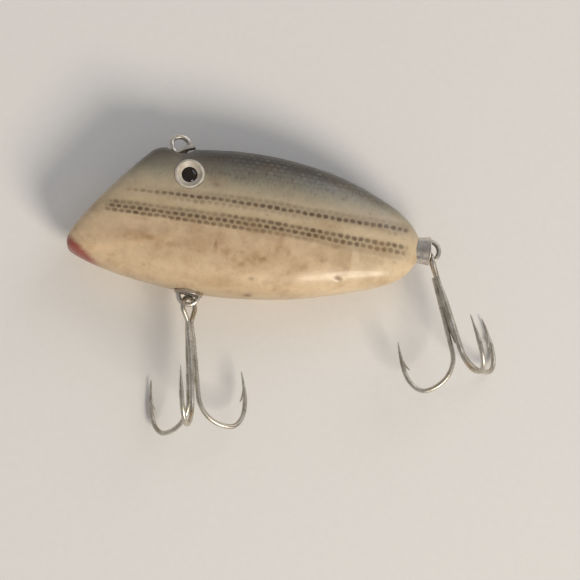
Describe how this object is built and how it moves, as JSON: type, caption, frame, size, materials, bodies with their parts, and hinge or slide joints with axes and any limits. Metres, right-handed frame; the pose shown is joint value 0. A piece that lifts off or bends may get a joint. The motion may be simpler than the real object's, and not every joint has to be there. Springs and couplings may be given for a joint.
{
  "type": "fishing lure",
  "caption": "Lipless vibrating fishing lure lying on its side: thin painted fish body with dished eyes, a wire line tie and treble hooks swinging on screw eyes in metal cups.",
  "frame": {"origin": "middle of the underside of the whole lure's box, on the surface that it lies on", "axes": "+X from the nose to the tail, +Y towards the back, +Z out of the left side, which lies uppermost"},
  "size_m": [0.076, 0.051, 0.0174],
  "materials": {
    "painted_wood": "worn gloss paint",
    "eye_white": "satin",
    "pupil_black": "gloss",
    "cup_metal": "dull nickel plate",
    "wire": "dull nickel plate",
    "hook_steel": "worn nickel plate"
  },
  "bodies": {
    "lure": {"body": "painted_wood", "left_eye": "eye_white", "right_eye": "eye_white", "left_pupil": "pupil_black", "right_pupil": "pupil_black", "line_tie": "wire", "belly_cup": "cup_metal", "tail_cup": "cup_metal", "belly_screw_eye": "wire", "tail_screw_eye": "wire"},
    "belly_hook": {"belly_treble": "hook_steel"},
    "tail_hook": {"tail_treble": "hook_steel"}
  },
  "joints": [
    {"name": "belly_hook_swing", "type": "hinge", "parent": "lure", "child": "belly_hook", "pos_m": [-0.01657, -0.00155, 0.00703], "axis": [0, 0, 1], "range_deg": [-52, 28]},
    {"name": "tail_hook_swing", "type": "hinge", "parent": "lure", "child": "tail_hook", "pos_m": [0.02315, 0.01192, 0.00703], "axis": [0, 0, 1], "range_deg": [-1, 132]}
  ]
}
